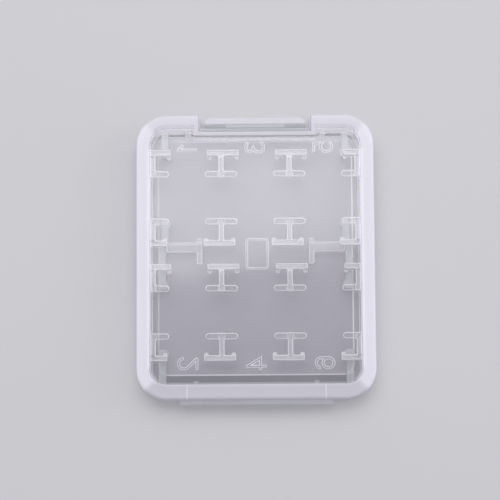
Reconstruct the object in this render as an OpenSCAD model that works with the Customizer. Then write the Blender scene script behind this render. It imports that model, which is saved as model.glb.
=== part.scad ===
// Clamshell case for memory cards, moulded in one shot of clear polypropylene.
// The base holds one full-size card and one stick card, and the lid holds six micro cards.
// A film hinge joins the two halves at the near side, and a springy tongue on the base
// snaps over a ledge of the lid at the far side. The case lies closed, with the lid on top.

/* [Cards] */
// Length of the full-size card, across the case
full_card_l = 32; // [28:0.5:36]
// Width of the full-size card, along the case
full_card_w = 24; // [20:0.5:28]
// Thickness of the full-size card
full_card_t = 2.1; // [1.6:0.1:2.6]
// Length of the stick card, across the case
stick_card_l = 31; // [27:0.5:35]
// Width of the stick card, along the case
stick_card_w = 20; // [16:0.5:24]
// Thickness of the stick card
stick_card_t = 1.6; // [1.2:0.1:2]
// Length of a micro card, along the case
micro_card_l = 15; // [13:0.5:16]
// Width of a micro card, across the case
micro_card_w = 11; // [10:0.25:12]
// Thickness of a micro card
micro_card_t = 1; // [0.7:0.1:1.2]

/* [Fits] */
// Free room at each short end of a card in the base
end_play = 0.23; // [0.1:0.01:0.5]
// Free room at each long edge of a card in the base
edge_play = 0.175; // [0.05:0.005:0.4]
// Free room at each short end of a micro card
micro_end_play = 0.225; // [0.1:0.005:0.4]
// Free room at each long edge of a micro card
micro_edge_play = 0.165; // [0.1:0.005:0.4]
// Gap between a card and the tab, bump or hook that keeps it in
hold_gap = 0.1; // [0.05:0.05:0.3]
// Free height between what stands in the base and what hangs in the lid
inner_gap = 0.5; // [0.3:0.1:1]
// Gap between what stands up past the joint face and the walls of the lid
lid_clear = 0.15; // [0.1:0.05:0.3]

/* [Shells] */
// Thickness of the wall round each half
wall_t = 2.5; // [1.8:0.1:3.2]
// Thickness of the floor of the base
floor_t = 1; // [0.8:0.1:1.4]
// Thickness of the top plate of the lid
lid_plate_t = 0.9; // [0.7:0.1:1.2]
// Outer radius of the corners, seen from above
corner_r = 5.5; // [4.5:0.5:8]
// Rounding of the outer edges of the floor and of the lid
edge_r = 0.5; // [0.2:0.1:0.8]
// Depth of the recess under the floor
recess_h = 0.3; // [0.1:0.05:0.5]
// Width of the resting rim beside the recess
recess_side = 3.8; // [2:0.1:6]
// Width of the resting rim at the hinge end of the recess
recess_near = 4.8; // [2:0.1:8]
// Width of the resting rim at the latch end of the recess
recess_far = 4.1; // [3:0.1:8]
// Corner radius of the recess
recess_r = 2; // [1:0.5:4]

/* [Side lips] */
// Thickness of the lip that lines up the two halves
lip_t = 0.5; // [0.3:0.1:1]
// Height of the lip above the joint face
lip_h = 0.6; // [0.3:0.1:0.8]
// Distance from the end of the case to the end of the lip
lip_inset = 6; // [5:0.5:12]
// Clearance between the lip and its rebate in the lid
lip_gap = 0.1; // [0.05:0.05:0.2]

/* [Card tray] */
// Thickness of the rails at the short ends of the cards
rail_t = 1.4; // [0.8:0.1:2]
// Room between the back of a rail and the side wall
rail_room = 1.37; // [0.8:0.01:2.5]
// Length of each rail of the full-size card
full_rail_l = 6.8; // [4:0.1:9]
// Length of the rail of the stick card at the latch end
stick_rail_far_l = 4.8; // [3:0.1:7]
// Length of the rail of the stick card at the divider
stick_rail_mid_l = 4.3; // [3:0.1:7]
// How far the snap bumps of the rails reach over a card
snap_reach = 0.5; // [0.3:0.05:0.8]
// Radius of the round snap bumps, seen from above
snap_r = 0.9; // [0.8:0.05:1.2]
// Thickness of the tabs, bumps and legs above the cards
tab_t = 0.45; // [0.3:0.05:0.6]
// Thickness of the divider between the two cards
divider_t = 1.9; // [1.2:0.1:2.6]
// Length of each of the two bars of the divider
divider_l = 6.6; // [4:0.1:10]
// Width of the legs that reach over the cards from the divider
leg_w = 1.05; // [0.8:0.05:1.5]
// Reach of the legs over the full-size card
leg_full_reach = 2.15; // [1:0.05:3]
// Reach of the legs over the stick card
leg_stick_reach = 0.8; // [0.4:0.05:1.5]
// Distance of the far wall tabs from the middle of the case
far_tab_x = 12.2; // [11.8:0.1:14]
// Width of the far wall tabs
far_tab_w = 1.1; // [0.8:0.05:1.6]
// Reach of the far wall tabs over the stick card
far_tab_reach = 1.6; // [0.8:0.1:2.4]
// Distance of the near wall tabs from the middle of the case
near_tab_x = 10.9; // [6:0.1:14]
// Width of the near wall tabs
near_tab_w = 1; // [0.8:0.05:1.6]
// Reach of the near wall tabs over the full-size card
near_tab_reach = 1.1; // [0.6:0.1:2]

/* [Micro card clips] */
// Thickness of the stem between two micro cards
stem_t = 1; // [0.6:0.05:1.2]
// Length of the end stop across the stem
stop_l = 5.8; // [4:0.1:7]
// Thickness of the end stop
stop_t = 1.05; // [0.6:0.05:1.2]
// Sideways shift of the end stop on its stem
stop_shift = 0.35; // [0:0.05:0.5]
// Width of the hooks at the ends of the end stop
hook_w = 0.85; // [0.5:0.05:1]
// Reach of the hooks over the micro card
hook_reach = 0.6; // [0.5:0.05:1]
// Thickness of the hooks
hook_t = 0.45; // [0.3:0.05:0.6]
// Length of the rounded pad under the card
pad_l = 5.9; // [4:0.1:7]
// Width of the rounded pad
pad_w = 1.2; // [0.8:0.05:1.6]
// Height of the pad above the inside of the lid
pad_h = 0.4; // [0.2:0.05:0.6]
// Distance from the end stop to the middle of the pad
pad_in = 3.4; // [2.6:0.1:5]
// Diameter of the round foot where the stem ends on the pad
foot_d = 1.5; // [1.3:0.05:2]
// Gap between the end stops of the two rows of cards
row_gap = 3.25; // [3:0.05:4.2]
// Shift of the two rows towards the latch
row_shift = 0.35; // [0:0.05:1]

/* [Latch] */
// Width of the tongue
tongue_w = 18.2; // [14:0.1:20]
// Thickness of the tongue
tongue_t = 1.2; // [0.8:0.1:1.4]
// Distance of the tongue's outer face behind the far face of the case
tongue_inset = 0.5; // [0.2:0.1:0.8]
// Distance of the top of the tongue below the top of the lid
tongue_drop = 0.4; // [0.2:0.1:1]
// Rounding of the outer corners of the tongue
tongue_r = 1; // [0.4:0.1:1.2]
// Thickness of the foot that carries the tongue
latch_foot_t = 0.9; // [0.8:0.1:1.3]
// Open slit between the back of the tongue and the far wall of the base
tongue_slit = 0.2; // [0.1:0.05:0.4]
// Slit at each side of the tongue in the base
base_slit = 0.7; // [0.4:0.05:1.2]
// Slit at each side of the tongue in the lid
lid_slit = 1.05; // [0.6:0.05:1.4]
// Width of the bead that catches the lid
bead_w = 10.8; // [8:0.1:12]
// How far the bead stands out from the tongue
bead_reach = 0.4; // [0.2:0.05:0.6]
// Height of the bead, from its catch face to the top of its ramp
bead_h = 1; // [0.6:0.1:1.2]
// Height of the bead's blunt tip
bead_lip = 0.2; // [0.1:0.05:0.3]
// Thickness of the walls round the pocket behind the tongue
pocket_t = 0.75; // [0.5:0.05:1.2]
// Depth of the pocket behind the tongue, measured from the far face of the case
pocket_depth = 3.05; // [2.9:0.05:3.6]
// Height of the catch ledge above the joint face
ledge_h = 1.5; // [1:0.1:2]
// Gap between the catch ledge and the bead, sideways and upwards
catch_gap = 0.05; // [0.05:0.01:0.1]

/* [Hinge] */
// Length of the film hinge
hinge_l = 27.4; // [18:0.2:32]
// Thickness of the film
film_t = 0.3; // [0.2:0.05:0.4]
// How far the folded film stands out from the near face
hinge_reach = 0.8; // [0.7:0.05:1.2]
// Clearance between the fold and the leaf of the lid
fold_gap = 0.02; // [0.01:0.01:0.05]

/* [Hidden] */
$fn = 48;
clear_plastic = [0.84, 0.84, 0.88];
sides = [-1, 1];
side_names = ["left", "right"];
clip_rows = ["a", "b", "c", "d"];
clip_columns = [1, 2, 3, 4];

// Heights of what holds the cards, and the height of the case that follows from them
full_hold_h = full_card_t + hold_gap;
stick_hold_h = stick_card_t + hold_gap;
tray_h = full_hold_h + tab_t;
clip_h = pad_h + micro_card_t + hold_gap + hook_t;
case_h = floor_t + tray_h + inner_gap + clip_h + lid_plate_t;
part_z = case_h / 2;
lid_in_z = case_h - lid_plate_t;

// How far a cut runs on past the face that it opens
cut_over = 1;

// Plan of the case: the wells for the cards, the cavity and the walls round it
full_well = full_card_w + 2 * edge_play;
stick_well = stick_card_w + 2 * edge_play;
full_rail_x = full_card_l / 2 + end_play;
stick_rail_x = stick_card_l / 2 + end_play;
cavity_w = 2 * (max(full_rail_x, stick_rail_x) + rail_t + rail_room);
cavity_l = full_well + divider_t + stick_well;
cavity_r = corner_r - wall_t;
case_w = cavity_w + 2 * wall_t;
case_l = cavity_l + 2 * wall_t;
near_wall_y = -cavity_l / 2;
far_wall_y = cavity_l / 2;
divider_y0 = near_wall_y + full_well;
divider_y1 = divider_y0 + divider_t;
divider_x0 = full_rail_x - divider_l;
lip_l = case_l - 2 * lip_inset;

// Micro card slots: rows and columns of clips under the lid
slot_l = micro_card_l + 2 * micro_end_play;
column_pitch = micro_card_w + stem_t + 2 * micro_edge_play;
row_pitch = slot_l + 2 * stop_t + row_gap;

// Latch: places measured from the far face, heights from the joint face
far_face_y = case_l / 2;
tongue_y1 = far_face_y - tongue_inset;
tongue_y0 = tongue_y1 - tongue_t;
tongue_z1 = case_h - tongue_drop;
base_cut_y = tongue_y0 - tongue_slit;
ledge_y1 = tongue_y0 - bead_reach - catch_gap;
ledge_z1 = part_z + ledge_h;
bead_z0 = ledge_z1 + catch_gap;
pocket_y = far_face_y - pocket_depth;
base_cut_w = tongue_w + 2 * base_slit;
lid_cut_w = tongue_w + 2 * lid_slit;
foot_root = wall_t / 8;
bead_root = tongue_t / 4;

// Hinge: the axis lies in the joint plane, in the middle of the fold
fold_r = film_t;
near_face_y = -case_l / 2;
hinge_y = near_face_y - hinge_reach + fold_r;

// The origin is under the middle of the whole outline, fold of the hinge included
middle_y = hinge_reach / 2;

// Flat shapes

module round_rect(w, l, r) {
    square([w, l - 2 * r], center = true);
    square([w - 2 * r, l], center = true);
    for (x = sides, y = sides)
        translate([x * (w / 2 - r), y * (l / 2 - r)]) circle(r);
}

// Section of a wall, x measured in from the outer face, with its lower outer edge rounded
module wall_section(h) {
    translate([edge_r, 0]) square([wall_t - edge_r, h]);
    translate([0, edge_r]) square([wall_t, h - edge_r]);
    translate([edge_r, edge_r]) circle(edge_r);
}

// Carries a section along one straight side, with x of the section leading inwards
module side_run(run_l, across) {
    translate([-run_l / 2, -across / 2, 0]) rotate([90, 0, 90])
        linear_extrude(run_l) children();
}

// A wall all round the case, standing on z = 0
module wall_ring(h) {
    for (turn = [0, 180]) {
        rotate([0, 0, turn]) side_run(case_w - 2 * corner_r, case_l) wall_section(h);
        rotate([0, 0, turn + 90]) side_run(case_l - 2 * corner_r, case_w) wall_section(h);
    }
    for (corner = [0:3]) {
        x = corner == 0 || corner == 3 ? 1 : -1;
        y = corner < 2 ? 1 : -1;
        translate([x * (case_w / 2 - corner_r), y * (case_l / 2 - corner_r), 0])
            rotate([0, 0, 90 * corner]) rotate_extrude(angle = 90)
                translate([corner_r, 0]) mirror([1, 0]) wall_section(h);
    }
}

// One half of the case as an open tray with its plate at the bottom
module half_tray(h, plate_t) {
    wall_ring(h);
    linear_extrude(plate_t) round_rect(case_w - wall_t, case_l - wall_t, corner_r - wall_t / 2);
}

// Base

module base_shell() {
    recess_y0 = near_face_y + recess_near;
    recess_y1 = far_face_y - recess_far;
    color(clear_plastic) difference() {
        union() {
            difference() {
                half_tray(part_z, floor_t);
                translate([-base_cut_w / 2, base_cut_y, -cut_over])
                    cube([base_cut_w, wall_t + cut_over, part_z + 2 * cut_over]);
            }
            translate([-tongue_w / 2, base_cut_y - foot_root, 0])
                cube([tongue_w, tongue_y1 - base_cut_y + foot_root, latch_foot_t]);
        }
        translate([0, (recess_y0 + recess_y1) / 2, -cut_over]) linear_extrude(cut_over + recess_h)
            round_rect(case_w - 2 * recess_side, recess_y1 - recess_y0, recess_r);
    }
}

// Lip on top of a side wall of the base
module side_lip(side) {
    color(clear_plastic)
        translate([side * (cavity_w + lip_t) / 2, 0, part_z + lip_h / 2])
            cube([lip_t, lip_l, lip_h], center = true);
}

// Room inside the walls, drawn in above the joint face to stay clear of the lid
module tray_room() {
    linear_extrude(part_z) round_rect(cavity_w, cavity_l, cavity_r);
    linear_extrude(case_h)
        round_rect(cavity_w - 2 * lid_clear, cavity_l - 2 * lid_clear, cavity_r - lid_clear);
}

// Rail beside a card, from y0 to y1, with a snap bump over the card at the end bump_y
module card_rail(side, rail_x, y0, y1, hold_h, bump_y, inward) {
    color(clear_plastic) intersection() {
        union() {
            translate([side > 0 ? rail_x : -rail_x - rail_t, y0, floor_t])
                cube([rail_t, y1 - y0, hold_h + tab_t]);
            translate([side * (rail_x + snap_r - snap_reach), bump_y + inward * snap_r, floor_t + hold_h])
                cylinder(h = tab_t, r = snap_r);
        }
        tray_room();
    }
}

module full_rail_near(side) {
    end_y = near_wall_y + full_rail_l;
    card_rail(side, full_rail_x, near_wall_y, end_y, full_hold_h, end_y, -1);
}

module full_rail_mid(side) {
    end_y = divider_y0 - full_rail_l;
    card_rail(side, full_rail_x, end_y, divider_y1, full_hold_h, end_y, 1);
}

module stick_rail_mid(side) {
    end_y = divider_y1 + stick_rail_mid_l;
    card_rail(side, stick_rail_x, divider_y1, end_y, stick_hold_h, end_y, -1);
}

module stick_rail_far(side) {
    end_y = far_wall_y - stick_rail_far_l;
    card_rail(side, stick_rail_x, end_y, far_wall_y, stick_hold_h, end_y, 1);
}

// Bar between the two cards, with a leg over each card at its free end
module divider(side) {
    bar_x = side > 0 ? divider_x0 : -full_rail_x;
    leg_x = side > 0 ? divider_x0 : -divider_x0 - leg_w;
    color(clear_plastic) {
        translate([bar_x, divider_y0, floor_t]) cube([divider_l, divider_t, tray_h]);
        translate([leg_x, divider_y0 - leg_full_reach, floor_t + full_hold_h])
            cube([leg_w, leg_full_reach + divider_t / 2, tab_t]);
        translate([leg_x, divider_y1 - divider_t / 2, floor_t + stick_hold_h])
            cube([leg_w, leg_stick_reach + divider_t / 2, tab_t]);
    }
}

// Tab that reaches over the full-size card from the near wall
module near_tab(side) {
    color(clear_plastic) intersection() {
        translate([side * near_tab_x - near_tab_w / 2, near_wall_y, floor_t + full_hold_h])
            cube([near_tab_w, near_tab_reach, tab_t]);
        tray_room();
    }
}

// Tab that reaches over the stick card from the far wall
module far_tab(side) {
    color(clear_plastic) intersection() {
        translate([side * far_tab_x - far_tab_w / 2, far_wall_y - far_tab_reach, floor_t + stick_hold_h])
            cube([far_tab_w, far_tab_reach, tab_t]);
        tray_room();
    }
}

// Lid

module lid_shell() {
    pocket_x = lid_cut_w / 2;
    pocket_back_y = pocket_y - pocket_t;
    pocket_front_y = far_face_y - wall_t / 2;
    rebate_x = cavity_w / 2 + lip_t + lip_gap;
    color(clear_plastic) difference() {
        union() {
            translate([0, 0, case_h]) mirror([0, 0, 1]) half_tray(case_h - part_z, lid_plate_t);
            translate([-pocket_x - pocket_t, pocket_back_y, part_z])
                cube([lid_cut_w + 2 * pocket_t, pocket_front_y - pocket_back_y, case_h - part_z]);
        }
        translate([-pocket_x, pocket_y, part_z - cut_over])
            cube([lid_cut_w, pocket_depth + cut_over, case_h - part_z + 2 * cut_over]);
        translate([-rebate_x, -lip_l / 2 - lip_gap, part_z - cut_over])
            cube([2 * rebate_x, lip_l + 2 * lip_gap, cut_over + lip_h + lip_gap]);
    }
}

// Ledge at the foot of the pocket, under the bead of the tongue
module catch_ledge() {
    color(clear_plastic) translate([-lid_cut_w / 2, pocket_y, part_z])
        cube([lid_cut_w, ledge_y1 - pocket_y, ledge_h]);
}

// One clip, hanging from z = 0 with the card on its +y side
module card_clip() {
    for (end = sides)
        translate([end * (stop_l - hook_w) / 2 - stop_shift, hook_reach - hook_w / 2, -clip_h]) {
            cylinder(h = hook_t, d = hook_w);
            translate([-hook_w / 2, -hook_reach, 0]) cube([hook_w, hook_reach, hook_t]);
        }
    translate([-stop_l / 2 - stop_shift, -stop_t, -clip_h]) cube([stop_l, stop_t, clip_h]);
    translate([-stem_t / 2, -stop_t / 2, -pad_h - micro_card_t])
        cube([stem_t, pad_in + stop_t / 2, pad_h + micro_card_t]);
    translate([0, pad_in, -pad_h - micro_card_t]) cylinder(h = pad_h + micro_card_t, d = stem_t);
    translate([0, pad_in, -pad_h]) linear_extrude(pad_h) {
        square([pad_l - pad_w, pad_w], center = true);
        for (end = sides) translate([end * (pad_l - pad_w) / 2, 0]) circle(d = pad_w);
        translate([0, (pad_w - foot_d) / 2]) circle(d = foot_d);
    }
}

// Clip in row 0 to 3 from the latch and column 0 to 3 from the left, cut off at the side walls
module placed_clip(row, column) {
    row_y = row_shift + (row < 2 ? row_pitch / 2 : -row_pitch / 2);
    faces_hinge = row == 0 || row == 2;
    clip_x = (column - (len(clip_columns) - 1) / 2) * column_pitch;
    clip_y = row_y + (faces_hinge ? slot_l / 2 : -slot_l / 2);
    color(clear_plastic) intersection() {
        translate([clip_x, clip_y, lid_in_z]) rotate([0, 0, faces_hinge ? 180 : 0]) card_clip();
        translate([-cavity_w / 2, near_wall_y, part_z]) cube([cavity_w, cavity_l, case_h]);
    }
}

// Latch

// Plan of the tongue, with its two outer corners rounded
module tongue_outline() {
    intersection() {
        translate([-tongue_w / 2, tongue_y0]) square([tongue_w, tongue_t]);
        translate([0, tongue_y1 - tongue_t]) round_rect(tongue_w, 2 * tongue_t, tongue_r);
    }
}

module latch_tongue() {
    color(clear_plastic) {
        translate([0, 0, latch_foot_t]) linear_extrude(tongue_z1 - latch_foot_t) tongue_outline();
        translate([-bead_w / 2, tongue_y0, bead_z0]) rotate([90, 0, 90]) linear_extrude(bead_w)
            polygon([[0, 0], [-bead_reach, bead_lip], [-bead_reach, 2 * bead_lip], [0, bead_h],
                [bead_root, bead_h], [bead_root, 0]]);
    }
}

// Film hinge

// Leaf and fold that stay with the base
module hinge_leaf_base() {
    color(clear_plastic) translate([-hinge_l / 2, hinge_y, part_z]) rotate([90, 0, 90])
        linear_extrude(hinge_l) {
            translate([0, -film_t]) square([near_face_y - hinge_y, film_t]);
            circle(fold_r);
        }
}

// Leaf that stays with the lid
module hinge_leaf_lid() {
    color(clear_plastic) translate([-hinge_l / 2, hinge_y, part_z]) rotate([90, 0, 90])
        linear_extrude(hinge_l) difference() {
            square([near_face_y - hinge_y, film_t]);
            circle(fold_r + fold_gap);
        }
}

module in_place() {
    translate([0, middle_y, 0]) children();
}

in_place() base_shell();
in_place() lid_shell();
in_place() latch_tongue();
in_place() catch_ledge();
in_place() hinge_leaf_base();
in_place() hinge_leaf_lid();
for (i = [0:1]) {
    in_place() side_lip(sides[i]);
    in_place() divider(sides[i]);
    in_place() full_rail_near(sides[i]);
    in_place() full_rail_mid(sides[i]);
    in_place() stick_rail_mid(sides[i]);
    in_place() stick_rail_far(sides[i]);
    in_place() near_tab(sides[i]);
    in_place() far_tab(sides[i]);
}
for (row = [0:3], column = [0:3])
    in_place() placed_clip(row, column);
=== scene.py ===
import math

import bmesh
import bpy
from mathutils import Matrix, Vector
from mathutils.geometry import delaunay_2d_cdt


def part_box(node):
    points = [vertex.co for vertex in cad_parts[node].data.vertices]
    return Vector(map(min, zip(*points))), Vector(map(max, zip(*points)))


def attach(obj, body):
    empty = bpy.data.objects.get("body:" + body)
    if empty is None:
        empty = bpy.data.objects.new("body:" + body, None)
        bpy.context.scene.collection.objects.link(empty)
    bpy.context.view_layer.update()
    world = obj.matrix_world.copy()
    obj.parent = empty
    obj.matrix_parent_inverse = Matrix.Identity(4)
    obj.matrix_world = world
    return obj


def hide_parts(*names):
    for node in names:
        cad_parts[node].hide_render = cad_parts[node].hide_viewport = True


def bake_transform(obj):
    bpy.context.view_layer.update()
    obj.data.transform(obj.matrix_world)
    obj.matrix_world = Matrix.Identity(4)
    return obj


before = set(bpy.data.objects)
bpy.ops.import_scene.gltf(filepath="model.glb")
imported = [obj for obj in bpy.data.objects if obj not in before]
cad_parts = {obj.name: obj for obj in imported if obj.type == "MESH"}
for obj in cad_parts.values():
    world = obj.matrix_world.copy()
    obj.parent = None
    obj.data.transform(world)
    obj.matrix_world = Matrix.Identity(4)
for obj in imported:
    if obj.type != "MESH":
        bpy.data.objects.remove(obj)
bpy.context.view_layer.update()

MM = 0.001

# Places taken from the frame
lid_low, lid_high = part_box("lid_shell")
base_low, base_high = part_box("base_shell")
leaf_low, leaf_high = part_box("hinge_leaf_base")
tongue_low, tongue_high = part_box("latch_tongue")
ledge_low, ledge_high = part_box("catch_ledge")
case_middle = Vector((0, (lid_low.y + lid_high.y) / 2, 0))
joint_z = lid_low.z
lid_inside_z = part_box("card_clip_a2")[1].z

# Sizes of the moulding that the looks need
WALL = 2.5 * MM
POCKET_WALL = 0.75 * MM
CAVITY_R = 3 * MM
CAVITY_X = lid_high.x - WALL
CAVITY_Y = (lid_high.y - lid_low.y) / 2 - WALL
RECESS_SIDE = 3.8 * MM
RECESS_NEAR = 4.8 * MM
RECESS_FAR = 4.1 * MM
RECESS_R = 2 * MM
HINGE_SEAM_X = 12.4 * MM

# Widths of the rounded edges
SHELL_EDGE = 0.15 * MM
TRAY_EDGE = 0.2 * MM
CLIP_EDGE = 0.18 * MM
LIP_EDGE = 0.1 * MM
FIGURE_EDGE = 0.14 * MM
SHARP_EDGE = math.radians(42)
FLAT_EDGE = math.radians(1)

# Points closer than WELD are one. Faces are drawn in by SKIN_GAP, so that pieces that touch share no plane.
WELD = 0.001 * MM
SKIN_GAP = 0.01 * MM

# The film hinge and the bend of the tongue
FOLD_STEPS = 24
FOLD_SLIT = 0.01 * MM
FILM_OVERLAP = 0.1 * MM
BEND_H = 2 * MM
BEND_CUTS = 7
ROOT_MARGIN = 0.1 * MM

# Raised figures under the lid, their places from the middle of the case
FIGURE_H = 0.3 * MM
DIGIT_STROKE = 0.56 * MM
DIGIT_PITCH = 12.3 * MM
DIGIT_FAR_Y = 19.95 * MM
DIGIT_NEAR_Y = -19.3 * MM
BADGE_W = 4.25 * MM
BADGE_L = 5.75 * MM
BADGE_BAND = 0.48 * MM
BADGE_R = 0.8 * MM
BADGE_X = 0.3 * MM
BADGE_Y = 0.45 * MM
CORNER_STEPS = 6

# Camera, from the photo's framing
CAMERA_ELEVATION = math.radians(82.8)
CAMERA_DISTANCE = 0.39
CAMERA_VIEW = math.radians(13.14)
CAMERA_ROLL = math.radians(-0.42)
CAMERA_SHIFT_X = -0.0112
CAMERA_SHIFT_Y = 0.0113
SENSOR_W = 36


# Nodes and materials

def add_node(tree, kind, **settings):
    """Adds a shader node. A setting named like an input sets its value or links a socket to it."""
    node = tree.nodes.new(kind)
    for name, value in settings.items():
        if hasattr(node, name):
            setattr(node, name, value)
            continue
        socket = node.inputs[int(name[2:])] if name.startswith("in") and name[2:].isdigit() \
            else node.inputs[name.replace("_", " ")]
        if isinstance(value, bpy.types.NodeSocket):
            tree.links.new(value, socket)
        else:
            socket.default_value = value
    return node


def calc(tree, operation, *values, clamp=False):
    """A Math node; returns its output."""
    inputs = {f"in{i}": v for i, v in enumerate(values)}
    return add_node(tree, "ShaderNodeMath", operation=operation, use_clamp=clamp, **inputs).outputs[0]


def ramp(tree, value, low, high, out_low=0.0, out_high=1.0):
    """A smooth change from out_low to out_high while value goes from low to high."""
    return add_node(tree, "ShaderNodeMapRange", interpolation_type="SMOOTHSTEP", in0=value,
                    in1=low, in2=high, in3=out_low, in4=out_high).outputs[0]


def new_group(name, setting, value):
    """A node group with one setting; returns its tree and the setting's output inside it."""
    tree = bpy.data.node_groups.new(name, "ShaderNodeTree")
    tree.interface.new_socket(setting, in_out="INPUT", socket_type="NodeSocketFloat").default_value = value
    return tree, tree.nodes.new("NodeGroupInput").outputs[setting]


def put_out(tree, results):
    """Ends a node group with an output for each named result."""
    for name in results:
        tree.interface.new_socket(name, in_out="OUTPUT", socket_type="NodeSocketFloat")
    ends = tree.nodes.new("NodeGroupOutput").inputs
    for name, result in results.items():
        tree.links.new(result, ends[name])


def outline_distance(tree, split, low, high, radius):
    """Distance in mm from a rounded rectangle between two corners, less than 0 inside it. The second value is
    more than 0 by the rectangle's sides and less than 0 by its ends."""
    past = {}
    for axis in "XY":
        middle = (getattr(low, axis.lower()) + getattr(high, axis.lower())) / 2
        half = (getattr(high, axis.lower()) - getattr(low, axis.lower())) / 2 - radius
        off = calc(tree, "ABSOLUTE", calc(tree, "SUBTRACT", split[axis], middle))
        past[axis] = calc(tree, "SUBTRACT", off, half)
    corner = add_node(tree, "ShaderNodeCombineXYZ", X=calc(tree, "MAXIMUM", past["X"], 0.0),
                      Y=calc(tree, "MAXIMUM", past["Y"], 0.0)).outputs[0]
    outside = add_node(tree, "ShaderNodeVectorMath", operation="LENGTH", in0=corner).outputs["Value"]
    inside = calc(tree, "MINIMUM", calc(tree, "MAXIMUM", past["X"], past["Y"]), 0.0)
    distance = calc(tree, "SUBTRACT", calc(tree, "ADD", outside, inside), radius)
    return calc(tree, "DIVIDE", distance, MM), calc(tree, "SUBTRACT", past["X"], past["Y"])


def band(tree, value, low, high):
    """1 where value lies between low and high, with soft ends."""
    rise = ramp(tree, value, low - BAND_SOFT, low)
    fall = ramp(tree, value, high, high + BAND_SOFT, 1.0, 0.0)
    return calc(tree, "MULTIPLY", rise, fall)


# Where the haze of the walls and the painted light and shade round them lie, in mm. Out from the cavity's
# outline, less than 0 inside it:
BAND_SOFT = 0.04
# Painted light on the far wall's face, painted shade on the side faces, a painted shade line at the far foot
# and a painted highlight at the side feet
WALL_FACE = (-0.03, 0.03)
SIDE_WALL_START = (0.05, 0.2)
FAR_FOOT = (-0.4, -0.14)
SIDE_FOOT = (-0.22, 0.0)
# Painted shade bands by the wall steps, and a painted glow on the lid beside the far wall
FAR_STEP = (0.1, 0.6)
NEAR_STEP_FADE = (-0.4, 0.3)
FAR_GLOW = (-1.05, -0.2)
# Out from the outline that the haze of the walls follows, which lies NEAR_HAZE further in at the near side
NEAR_HAZE = 0.9
WALL_BLUR = 0.12
NEAR_WALL_BLUR = 0.8
# Out from the outline of the recess in the underside, along which a painted highlight line runs, fainter on
# the left
RECESS_LINE = (-0.1, 0.1)
RECESS_LEFT = 0.45
# Out from the near face of the wall of the latch pocket: a painted glow before it, a painted shade line at
# its foot, and its top
LATCH_GLOW = (-1.0, -0.38)
POCKET_FOOT = (-0.28, -0.02)
LATCH_WALL = (0.04, POCKET_WALL / MM)
# To each side of the seams over the hinge, and down from the inside of the lid to the hooks of the clips and
# below the top of the tongue, which get painted light
HINGE_SEAM = (-0.12, 0.12)
HOOK_LEVEL = (1.0, 1.7)
BELOW_TOP = (-0.45, -0.3)


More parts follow.
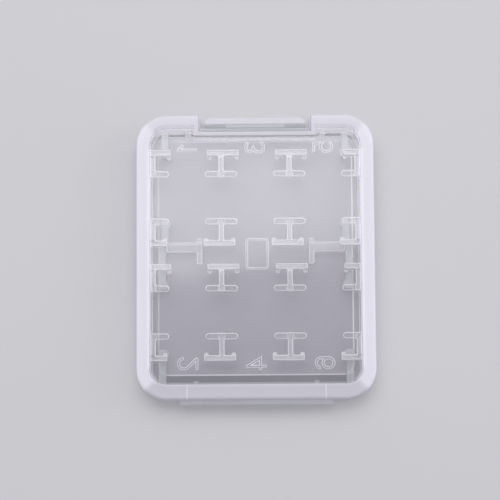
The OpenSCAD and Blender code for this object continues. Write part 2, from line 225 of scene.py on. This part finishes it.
def make_case_zones():
    """Masks for the haze of the walls and for painted light and shade, seen from above: lit and shaded rims
    over the walls round the cavity, painted light, shade and highlight lines at the faces and the feet of
    these walls, painted shade bands on their tops, painted glow and a painted shade line round the latch
    pocket, a painted highlight along the recess in the underside, painted light and shade past it, the seams
    over the hinge, and painted light at the hooks of the clips and below the top of the tongue. Start is
    where the haze of the walls starts, in mm out from the cavity."""
    tree, start = new_group("case_zones", "Start", 0.0)
    place = add_node(tree, "ShaderNodeTexCoord").outputs["Object"]
    split = add_node(tree, "ShaderNodeSeparateXYZ", Vector=place).outputs
    low = case_middle - Vector((CAVITY_X, CAVITY_Y, 0))
    high = case_middle + Vector((CAVITY_X, CAVITY_Y, 0))
    cavity, sideways = outline_distance(tree, split, low, high, CAVITY_R)
    haze = outline_distance(tree, split, low + Vector((0, NEAR_HAZE * MM, 0)), high, CAVITY_R)[0]
    recess = outline_distance(tree, split, base_low + Vector((RECESS_SIDE, RECESS_NEAR, 0)),
                              base_high - Vector((RECESS_SIDE, RECESS_FAR, 0)), RECESS_R)[0]
    side = ramp(tree, sideways, -MM, MM)
    end = calc(tree, "SUBTRACT", 1.0, side)
    near = calc(tree, "MULTIPLY", end, calc(tree, "LESS_THAN", split["Y"], case_middle.y))
    far = calc(tree, "SUBTRACT", end, near)
    right = ramp(tree, split["X"], -MM, MM, RECESS_LEFT, 1.0)
    recess_shown = calc(tree, "ADD", near, calc(tree, "MULTIPLY", side, right))
    past_recess = ramp(tree, recess, *RECESS_LINE)
    wall = ramp(tree, haze, start, calc(tree, "ADD", start, WALL_BLUR))
    near_wall = ramp(tree, haze, start, calc(tree, "ADD", start, NEAR_WALL_BLUR))
    near_haze = calc(tree, "MULTIPLY", wall, near)
    face = band(tree, cavity, *WALL_FACE)
    across = calc(tree, "ABSOLUTE", split["X"])
    pocket_x = ledge_high.x + POCKET_WALL
    pocket_y = ledge_low.y - POCKET_WALL
    by_latch = calc(tree, "MULTIPLY", calc(tree, "LESS_THAN", across, pocket_x + SKIN_GAP),
                    calc(tree, "GREATER_THAN", split["Y"], pocket_y - MM))
    behind = calc(tree, "DIVIDE", calc(tree, "SUBTRACT", split["Y"], pocket_y), MM)
    in_pocket = calc(tree, "MULTIPLY", by_latch, calc(tree, "GREATER_THAN", behind, -SKIN_GAP / MM))
    in_gap = calc(tree, "LESS_THAN", across, ledge_high.x + 2 * SKIN_GAP)
    past_pocket_wall = calc(tree, "GREATER_THAN", behind, POCKET_WALL / MM)
    seam = band(tree, calc(tree, "DIVIDE", calc(tree, "SUBTRACT", across, HINGE_SEAM_X), MM), *HINGE_SEAM)
    depth = calc(tree, "DIVIDE", calc(tree, "SUBTRACT", lid_inside_z, split["Z"]), MM)
    beside_latch = calc(tree, "MULTIPLY", far, calc(tree, "SUBTRACT", 1.0, by_latch))
    wall_glow = calc(tree, "MULTIPLY", band(tree, cavity, *FAR_GLOW), beside_latch)
    latch_glow = calc(tree, "MULTIPLY", band(tree, behind, *LATCH_GLOW), by_latch)
    put_out(tree, {
        "Wall": wall,
        "Pocket": calc(tree, "MAXIMUM", wall, in_pocket),
        "Side Wall": calc(tree, "MULTIPLY", ramp(tree, cavity, *SIDE_WALL_START), side),
        "Near Wall": calc(tree, "MULTIPLY", near_wall, near),
        "Far Wall": calc(tree, "MULTIPLY", wall, far),
        "Far Face": calc(tree, "MULTIPLY", face, far),
        "Side Face": calc(tree, "MULTIPLY", face, side),
        "Far Foot": calc(tree, "MULTIPLY", band(tree, cavity, *FAR_FOOT), far),
        "Side Foot": calc(tree, "MULTIPLY", band(tree, cavity, *SIDE_FOOT), side),
        "Far Step": calc(tree, "MULTIPLY", band(tree, cavity, *FAR_STEP), beside_latch),
        "Near Step": calc(tree, "MULTIPLY", ramp(tree, cavity, *NEAR_STEP_FADE, 1.0, 0.0), near_haze),
        "Far Glow": calc(tree, "MAXIMUM", wall_glow, latch_glow),
        "Far Strip": calc(tree, "MULTIPLY", past_recess, far),
        "Near Strip": calc(tree, "MULTIPLY", past_recess, near),
        "Recess Edge": calc(tree, "MULTIPLY", band(tree, recess, *RECESS_LINE), recess_shown),
        "Latch Gap": calc(tree, "MULTIPLY", in_gap, past_pocket_wall),
        "Latch Wall": calc(tree, "MULTIPLY", band(tree, behind, *LATCH_WALL), by_latch),
        "Pocket Foot": calc(tree, "MULTIPLY", band(tree, behind, *POCKET_FOOT), by_latch),
        "Hinge Seam": calc(tree, "MULTIPLY", seam, near_haze),
        "Hook Level": ramp(tree, depth, *HOOK_LEVEL),
        "Below Top": ramp(tree, depth, *BELOW_TOP),
    })
    return tree


# Clouds of haze across a metre
CLOUD_SCALE = 90.0


def make_moulded_skin():
    """The uneven haze of thin polypropylene: Haze about 0.5, and Height for a bump."""
    tree, contrast = new_group("moulded_skin", "Contrast", 1.0)
    place = add_node(tree, "ShaderNodeTexCoord").outputs["Object"]
    clouds = add_node(tree, "ShaderNodeTexNoise", Vector=place, Scale=CLOUD_SCALE, Detail=3.0,
                      Roughness=0.55).outputs[0]
    uneven = calc(tree, "MULTIPLY", calc(tree, "SUBTRACT", clouds, 0.5), contrast)
    put_out(tree, {"Haze": calc(tree, "ADD", uneven, 0.5), "Height": clouds})
    return tree


case_zones = make_case_zones()
moulded_skin = make_moulded_skin()


# Share of the plastic's shadow that is left, because light spreads on through it
SHADOW_LEFT = 0.5

# How far the haze changes the roughness and the shade, and the depth of the bump
HAZE_ROUGHNESS = 0.04
HAZE_SHADE = 0.12
BUMP_DEPTH = 0.1 * MM

# How far a face turns away, from 0 to 1, before it starts to hide what is behind it
TURNED_START = 0.15


def clear_plastic(name, tint, cover, roughness=0.2, ior=1.5, contrast=0.3, edge_on=0.7, bump=0.05,
                  from_inside=0.0, start=0.0, zones=()):
    """Milky see-through plastic. cover is how much its haze hides what is behind it, and edge_on is how far
    a face hides it when it is seen edge on. from_inside is the share of that which shows where the face is
    seen through its own piece. Each zone is a mask of case_zones with the tint, cover and roughness there."""
    material = bpy.data.materials.new(name)
    material.use_nodes = True
    tree = material.node_tree
    shader = tree.nodes["Principled BSDF"]
    skin = add_node(tree, "ShaderNodeGroup", node_tree=moulded_skin, Contrast=contrast).outputs
    veil = calc(tree, "MULTIPLY", skin["Haze"], 2 * cover)
    uneven = calc(tree, "MULTIPLY", skin["Haze"], HAZE_ROUGHNESS)
    rough = calc(tree, "ADD", uneven, roughness - HAZE_ROUGHNESS / 2)
    colour = (*tint, 1)
    if zones:
        masks = add_node(tree, "ShaderNodeGroup", node_tree=case_zones, Start=start).outputs
    for zone, zone_tint, zone_cover, zone_roughness in zones:
        mask = masks[zone]
        colour = add_node(tree, "ShaderNodeMix", data_type="RGBA", in0=mask, in6=colour,
                          in7=(*zone_tint, 1)).outputs[2]
        veil = add_node(tree, "ShaderNodeMix", in0=mask, in2=veil, in3=zone_cover).outputs[0]
        rough = add_node(tree, "ShaderNodeMix", in0=mask, in2=rough, in3=zone_roughness).outputs[0]
    facing = add_node(tree, "ShaderNodeLayerWeight", Blend=0.5).outputs["Facing"]
    turned = ramp(tree, facing, TURNED_START, 1.0, 0.0, edge_on)
    left_open = calc(tree, "MULTIPLY", calc(tree, "SUBTRACT", 1.0, veil), calc(tree, "SUBTRACT", 1.0, turned))
    front = calc(tree, "SUBTRACT", 1.0, left_open, clamp=True)
    back = add_node(tree, "ShaderNodeNewGeometry").outputs["Backfacing"]
    shown = calc(tree, "SUBTRACT", 1.0, calc(tree, "MULTIPLY", back, 1 - from_inside))
    shadow = add_node(tree, "ShaderNodeLightPath").outputs["Is Shadow Ray"]
    dim = calc(tree, "MULTIPLY", shadow, 1 - SHADOW_LEFT)
    alpha = calc(tree, "MULTIPLY", calc(tree, "MULTIPLY", front, shown), calc(tree, "SUBTRACT", 1.0, dim))
    tree.links.new(alpha, shader.inputs["Alpha"])
    shade = calc(tree, "ADD", calc(tree, "MULTIPLY", skin["Haze"], HAZE_SHADE), 1 - HAZE_SHADE / 2)
    grey = add_node(tree, "ShaderNodeCombineColor", Red=shade, Green=shade, Blue=shade).outputs[0]
    shaded = add_node(tree, "ShaderNodeMix", data_type="RGBA", blend_type="MULTIPLY", in0=1.0, in6=colour,
                      in7=grey).outputs[2]
    tree.links.new(shaded, shader.inputs["Base Color"])
    tree.links.new(rough, shader.inputs["Roughness"])
    shader.inputs["IOR"].default_value = ior
    lumps = add_node(tree, "ShaderNodeBump", Strength=bump, Distance=BUMP_DEPTH, Height=skin["Height"])
    tree.links.new(lumps.outputs[0], shader.inputs["Normal"])
    return material


# Tints
MILK = (0.80, 0.79, 0.86)
PANEL = (0.44, 0.43, 0.485)
# Lit and shaded copies of the rims' haze: painted light on the far and side rims, painted shade on the near
# rim
FAR_RIM_LIT = (0.72, 0.71, 0.775)
SIDE_RIM_LIT = (0.88, 0.87, 0.94)
NEAR_RIM_SHADED = (0.59, 0.58, 0.64)
INNER_RIM = (0.66, 0.65, 0.72)
TONGUE_TOP = (0.61, 0.60, 0.665)
# White of the clips, and the painted highlight and painted light on edges, lines and shaded faces
WHITE_AND_HIGHLIGHT = (0.97, 0.965, 1.0)
WARM = (0.95, 0.95, 0.91)
# Painted shade: bands by the wall steps, lines at the feet of walls, a dark strip along the near wall and the
# side faces
STEP_SHADE = (0.42, 0.415, 0.465)
SHADE_LINE = (0.03, 0.03, 0.04)
NEAR_STRIP_SHADE = (0.13, 0.14, 0.165)
SHADE = (0.34, 0.335, 0.37)
COOL = (0.74, 0.78, 0.80)
# Painted shade on the ledge and on the floor of the latch gap
GREENISH_SHADE = (0.50, 0.54, 0.53)
LATCH_GAP_SHADE = (0.58, 0.615, 0.625)
FILM = (0.60, 0.605, 0.65)

# Finishes
# Lid: painted light on the far rim, the latch pocket, the side rims and the latch wall, painted shade on the
# near rim, a painted glow on the panel beside the far wall and before the latch pocket, and painted shade
# lines at the side faces and the foot of the latch pocket
lid_plastic = clear_plastic(
    "lid_plastic", PANEL, 0.3, roughness=0.08, ior=2.1, bump=0.02, start=0.6,
    zones=[("Pocket", FAR_RIM_LIT, 0.62, 0.55), ("Side Wall", SIDE_RIM_LIT, 0.62, 0.55),
           ("Near Wall", NEAR_RIM_SHADED, 0.62, 0.55), ("Side Face", SHADE, 0.6, 0.3),
           ("Far Glow", SIDE_RIM_LIT, 0.3, 0.08), ("Latch Wall", SIDE_RIM_LIT, 0.5, 0.5),
           ("Pocket Foot", SHADE_LINE, 0.8, 0.3), ("Hinge Seam", FAR_RIM_LIT, 0.66, 0.5)])
# Base: painted light on the far strip and the far face, painted highlight lines at the side feet and along
# the recess edge, and painted shade on the near strip, the steps, the side faces, the far foot and the latch
# gap
base_plastic = clear_plastic(
    "base_plastic", PANEL, 0.75, roughness=0.25, start=-0.1,
    zones=[("Far Strip", FAR_RIM_LIT, 0.75, 0.3), ("Near Strip", NEAR_STRIP_SHADE, 0.85, 0.3),
           ("Wall", INNER_RIM, 0.8, 0.5), ("Far Step", STEP_SHADE, 0.9, 0.5), ("Near Step", STEP_SHADE, 0.9, 0.5),
           ("Far Face", WHITE_AND_HIGHLIGHT, 0.9, 0.5), ("Side Face", SHADE, 0.9, 0.5), ("Far Foot", SHADE_LINE, 1.0, 0.3),
           ("Side Foot", WHITE_AND_HIGHLIGHT, 1.0, 0.3), ("Recess Edge", WHITE_AND_HIGHLIGHT, 0.7, 0.3),
           ("Latch Gap", LATCH_GAP_SHADE, 0.92, 0.5)])
# Painted light on the hooks of the clips, which lie in shade
clip_plastic = clear_plastic("clip_plastic", WHITE_AND_HIGHLIGHT, 0.03, edge_on=0.9, from_inside=1.0,
                             zones=[("Hook Level", WHITE_AND_HIGHLIGHT, 0.6, 0.2)])
# The ledge is tinted darker as painted shade
ledge_plastic = clear_plastic("ledge_plastic", GREENISH_SHADE, 0.3)
tray_plastic = clear_plastic("tray_plastic", MILK, 0.3)
rail_plastic = clear_plastic("rail_plastic", COOL, 0.5, edge_on=0.5)
lip_plastic = clear_plastic("lip_plastic", WARM, 0.95)
# Painted light on the back of the tongue below its top
latch_plastic = clear_plastic("latch_plastic", TONGUE_TOP, 0.85, roughness=0.35, edge_on=0.3,
                              zones=[("Below Top", WHITE_AND_HIGHLIGHT, 0.4, 0.35)])
film_plastic = clear_plastic("film_plastic", FILM, 0.7)
figure_plastic = clear_plastic("figure_plastic", MILK, 0.08)
# Edge materials: painted highlights along the rounded edges. The soft edge also takes the lit and shaded rim
# tints and a painted shade line at the foot of the latch pocket
bright_edge_highlight = clear_plastic("bright_edge_highlight", WHITE_AND_HIGHLIGHT, 0.95, roughness=0.3, contrast=0.1, from_inside=1.0)
soft_edge_highlight = clear_plastic("soft_edge_highlight", WHITE_AND_HIGHLIGHT, 0.6, roughness=0.3, contrast=0.1, from_inside=1.0, start=-2.2,
                          zones=[("Far Wall", FAR_RIM_LIT, 0.5, 0.5), ("Near Wall", NEAR_RIM_SHADED, 0.35, 0.5),
                                 ("Pocket Foot", SHADE_LINE, 0.8, 0.3)])
faint_edge = clear_plastic("faint_edge", COOL, 0.45, roughness=0.3, contrast=0.1, from_inside=1.0)


# Softened edges

def dress(obj, face, edge, width):
    """Gives a piece its finish and rounds its sharp edges, whose rounding takes the edge material, a painted
    highlight.
    """
    obj.data.materials.clear()
    obj.data.materials.append(face)
    obj.data.materials.append(edge)
    weld = obj.modifiers.new("weld", "WELD")
    weld.merge_threshold = WELD
    flat = obj.modifiers.new("flat", "DECIMATE")
    flat.decimate_type = "DISSOLVE"
    flat.angle_limit = FLAT_EDGE
    soft = obj.modifiers.new("soft", "BEVEL")
    soft.width = width
    soft.segments = 2
    soft.limit_method = "ANGLE"
    soft.angle_limit = SHARP_EDGE
    soft.material = 1
    soft.use_clamp_overlap = False
    skin = obj.modifiers.new("skin", "DISPLACE")
    skin.strength = -SKIN_GAP
    skin.mid_level = 0
    normals = obj.modifiers.new("normals", "WEIGHTED_NORMAL")
    normals.keep_sharp = False


FINISHES = {
    "lid_shell": (lid_plastic, soft_edge_highlight, SHELL_EDGE),
    "base_shell": (base_plastic, soft_edge_highlight, SHELL_EDGE),
    "catch_ledge": (ledge_plastic, soft_edge_highlight, TRAY_EDGE),
    "card_clip": (clip_plastic, bright_edge_highlight, CLIP_EDGE),
    "side_lip": (lip_plastic, soft_edge_highlight, LIP_EDGE),
    "full_rail": (rail_plastic, faint_edge, TRAY_EDGE),
    "stick_rail": (rail_plastic, faint_edge, TRAY_EDGE),
}
TRAY_FINISH = (tray_plastic, soft_edge_highlight, TRAY_EDGE)


def dress_nodes():
    for name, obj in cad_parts.items():
        kind = next((k for k in FINISHES if name.startswith(k)), None)
        dress(obj, *FINISHES.get(kind, TRAY_FINISH))


# New pieces

def add_object(name, bm):
    mesh = bpy.data.meshes.new(name)
    bm.to_mesh(mesh)
    bm.free()
    obj = bpy.data.objects.new(name, mesh)
    bpy.context.scene.collection.objects.link(obj)
    return obj


def add_piece(name, bm, body=None):
    """A new piece of the case, on a body if one is given."""
    obj = add_object(name, bm)
    if body:
        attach(obj, body)
    return obj


def arc(x, y, across, up, start, stop, steps):
    """Points along an ellipse with the half axes across and up, angles in degrees."""
    angles = [math.radians(start + (stop - start) * i / steps) for i in range(steps + 1)]
    return [(x + across * math.cos(a), y + up * math.sin(a)) for a in angles]


def thicken(bm, faces, direction):
    """Extrudes flat faces along direction into a closed solid."""
    grown = bmesh.ops.extrude_face_region(bm, geom=faces)["geom"]
    bmesh.ops.translate(bm, vec=direction, verts=[g for g in grown if isinstance(g, bmesh.types.BMVert)])
    bmesh.ops.recalc_face_normals(bm, faces=bm.faces[:])


def build_hinge_film():
    """The film hinge as one folded strip."""
    film_t = (leaf_high.z - leaf_low.z) / 2
    fold_y = leaf_low.y + film_t
    root_y = leaf_high.y + FILM_OVERLAP
    fold = arc(fold_y, joint_z, film_t, film_t, 270, 90, FOLD_STEPS)
    outline = [(root_y, joint_z - film_t), *fold, (root_y, joint_z + film_t), (root_y, joint_z + FOLD_SLIT),
               (fold_y, joint_z + FOLD_SLIT), (fold_y, joint_z - FOLD_SLIT), (root_y, joint_z - FOLD_SLIT)]
    bm = bmesh.new()
    side = bm.faces.new([bm.verts.new((leaf_low.x, y, z)) for y, z in outline])
    thicken(bm, [side], (leaf_high.x - leaf_low.x, 0, 0))
    film = add_piece("hinge_film", bm)
    film.data.materials.append(film_plastic)
    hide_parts("hinge_leaf_base", "hinge_leaf_lid")
    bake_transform(film)


def build_tongue():
    """The springy tongue with its snap bead, cut across near its root so that it can bend there."""
    bm = bmesh.new()
    bm.from_mesh(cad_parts["latch_tongue"].data)
    bmesh.ops.remove_doubles(bm, verts=bm.verts[:], dist=WELD)
    bmesh.ops.dissolve_limit(bm, angle_limit=FLAT_EDGE, verts=bm.verts[:], edges=bm.edges[:])
    sharp = [e for e in bm.edges if e.calc_face_angle(0) > SHARP_EDGE
             and min(v.co.z for v in e.verts) > tongue_low.z + ROOT_MARGIN]
    bmesh.ops.bevel(bm, geom=sharp, offset=SHELL_EDGE, segments=2, profile=0.5, affect="EDGES", material=1)
    for cut in range(1, BEND_CUTS + 1):
        height = tongue_low.z + BEND_H * cut / (BEND_CUTS + 1)
        bmesh.ops.bisect_plane(bm, geom=bm.verts[:] + bm.edges[:] + bm.faces[:], plane_co=(0, 0, height),
                               plane_no=(0, 0, 1))
    tongue = add_piece("tongue", bm)
    tongue.data.materials.append(latch_plastic)
    tongue.data.materials.append(soft_edge_highlight)
    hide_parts("latch_tongue")
    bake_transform(tongue)


def raise_figure(name, bm, faces, x, y):
    """Makes a raised figure under the lid from flat faces, drawn to be read from inside the lid."""
    turn = Matrix(((0, -1, 0, x), (-1, 0, 0, case_middle.y + y), (0, 0, -1, lid_inside_z), (0, 0, 0, 1)))
    bmesh.ops.transform(bm, matrix=turn, verts=bm.verts[:])
    thicken(bm, faces, (0, 0, -FIGURE_H))
    dress(add_piece(name, bm, "lid"), figure_plastic, bright_edge_highlight, FIGURE_EDGE)


# Middle lines of the strokes of each slot number, in mm to the right and up from its own middle
DIGIT_LINES = {
    1: [[(-0.45, 0.7), (0.42, 1.55)], [(0.45, 1.87), (0.45, -1.87)]],
    2: [arc(0, 0.67, 0.95, 0.97, 180, -45, 15) + [(-0.85, -1.56)], [(-1.1, -1.65), (1.15, -1.65)]],
    3: [arc(0, 0.96, 0.85, 0.68, 160, -90, 16) + [(-0.3, 0.28)], arc(0, -0.67, 0.94, 0.95, 90, -160, 16)],
    4: [[(0.55, -1.87), (0.55, 1.87)], [(0.5, 1.6), (-0.9, -0.75), (1.25, -0.75)]],
    5: [arc(0, -0.62, 0.9, 1.03, -150, 130, 18) + [(-0.5, 1.65), (0.9, 1.65)]],
    6: [arc(0, -0.62, 0.9, 0.99, -20, 200, 11), arc(0, -0.62, 0.9, 0.99, 160, 380, 11),
        [(-0.9, -0.6)] + arc(0, 0.74, 0.9, 0.85, 180, 0, 12)],
}


def stroke_outline(line):
    """Closed outline of a stroke with square ends along a middle line."""
    points = [Vector(p) * MM for p in line]
    left, right = [], []
    for i, point in enumerate(points):
        after = (points[i + 1] - point).normalized() if i + 1 < len(points) else None
        before = (point - points[i - 1]).normalized() if i else after
        along = (before + (after or before)).normalized()
        aside = Vector((-along.y, along.x)) * DIGIT_STROKE / 2 / along.dot(before)
        left.append(point + aside)
        right.append(point - aside)
    return right + left[::-1]


def build_digit(number, x, y):
    """One raised slot number, its strokes joined into one solid."""
    corners, strokes = [], []
    for line in DIGIT_LINES[number]:
        outline = stroke_outline(line)
        strokes.append(list(range(len(corners), len(corners) + len(outline))))
        corners += outline
    inside = 1
    points, _, triangles, _, _, owners = delaunay_2d_cdt(corners, [], strokes, inside, WELD)
    bm = bmesh.new()
    verts = [bm.verts.new((p.x, p.y, 0)) for p in points]
    faces = [bm.faces.new([verts[i] for i in triangle])
             for triangle, stroke in zip(triangles, owners) if stroke]
    raise_figure(f"digit_{number}", bm, faces, x, y)


def build_digits():
    for column in range(3):
        x = (column - 1) * DIGIT_PITCH
        build_digit(2 * column + 1, x, DIGIT_FAR_Y)
        build_digit(2 * column + 2, x, DIGIT_NEAR_Y)


def rounded_outline(inset):
    """Corners of the badge frame's outline about its middle, inset on all sides."""
    radius = BADGE_R - inset
    x = BADGE_L / 2 - BADGE_R
    y = BADGE_W / 2 - BADGE_R
    corners = [(x, y, 0), (-x, y, 90), (-x, -y, 180), (x, -y, 270)]
    return [p for u, v, start in corners for p in arc(u, v, radius, radius, start, start + 90, CORNER_STEPS)]


def build_badge_frame():
    """The empty raised frame in the middle of the lid."""
    bm = bmesh.new()
    loops = []
    for inset in (0, BADGE_BAND):
        verts = [bm.verts.new((u, v, 0)) for u, v in rounded_outline(inset)]
        loops += [bm.edges.new(pair) for pair in zip(verts, verts[1:] + verts[:1])]
    faces = bmesh.ops.bridge_loops(bm, edges=loops)["faces"]
    raise_figure("badge_frame", bm, faces, BADGE_X, BADGE_Y)


# Studio

def build_floor():
    bm = bmesh.new()
    bmesh.ops.create_grid(bm, x_segments=1, y_segments=1, size=1.5)
    floor = add_object("floor", bm)
    floor.location = (0, 0, -SKIN_GAP)
    paper = bpy.data.materials.new("floor_paper")
    paper.use_nodes = True
    shader = paper.node_tree.nodes["Principled BSDF"]
    shader.inputs["Base Color"].default_value = (0.62, 0.62, 0.63, 1)
    shader.inputs["Roughness"].default_value = 0.9
    shader.inputs["Specular IOR Level"].default_value = 0.2
    floor.data.materials.append(paper)


def add_softbox(name, place, aim, width, length, radiance, colour):
    """A rectangular lamp at place, turned to aim, that looks as bright as radiance however large it is."""
    lamp = bpy.data.lights.new(name, "AREA")
    lamp.shape = "RECTANGLE"
    lamp.size = width
    lamp.size_y = length
    lamp.energy = radiance * math.pi * width * length
    lamp.color = colour
    obj = bpy.data.objects.new(name, lamp)
    obj.location = place
    obj.rotation_euler = (Vector(aim) - Vector(place)).to_track_quat("-Z", "Y").to_euler()
    bpy.context.scene.collection.objects.link(obj)


def light_scene():
    world = bpy.data.worlds.new("studio")
    world.use_nodes = True
    backdrop = world.node_tree.nodes["Background"]
    backdrop.inputs["Color"].default_value = (0.97, 0.96, 1.0, 1)
    backdrop.inputs["Strength"].default_value = 0.48
    bpy.context.scene.world = world
    add_softbox("far_softbox", place=(-0.03, 0.226, 0.6), aim=(0, 0.026, 0), width=0.5, length=0.32,
                radiance=4.5, colour=(0.975, 0.965, 1))
    add_softbox("side_softbox", place=(0.6, 0.1, 0.35), aim=(0, 0, 0), width=0.3, length=0.3,
                radiance=2.6, colour=(1, 0.99, 0.97))


def place_camera():
    """Almost straight above the case, a little towards its near side."""
    lens = bpy.data.cameras.new("camera")
    lens.sensor_width = SENSOR_W
    lens.lens = SENSOR_W / 2 / math.tan(CAMERA_VIEW / 2)
    lens.shift_x = CAMERA_SHIFT_X
    lens.shift_y = CAMERA_SHIFT_Y
    lens.clip_start = 0.01
    camera = bpy.data.objects.new("camera", lens)
    back = Vector((0, -math.cos(CAMERA_ELEVATION), math.sin(CAMERA_ELEVATION)))
    camera.location = case_middle + Vector((0, 0, lid_high.z)) + back * CAMERA_DISTANCE
    tilt = Matrix.Rotation(math.pi / 2 - CAMERA_ELEVATION, 3, "X")
    camera.rotation_euler = (tilt @ Matrix.Rotation(CAMERA_ROLL, 3, "Z")).to_euler()
    bpy.context.scene.collection.objects.link(camera)
    bpy.context.scene.camera = camera


build_hinge_film()
build_tongue()
dress_nodes()
build_digits()
build_badge_frame()
build_floor()
light_scene()
place_camera()

# A line of sight can pass through more layers of clear plastic than Cycles follows by default
CLEAR_LAYERS = 32
scene = bpy.context.scene
scene.view_settings.view_transform = "Standard"
scene.cycles.transparent_max_bounces = CLEAR_LAYERS

bpy.context.view_layer.update()
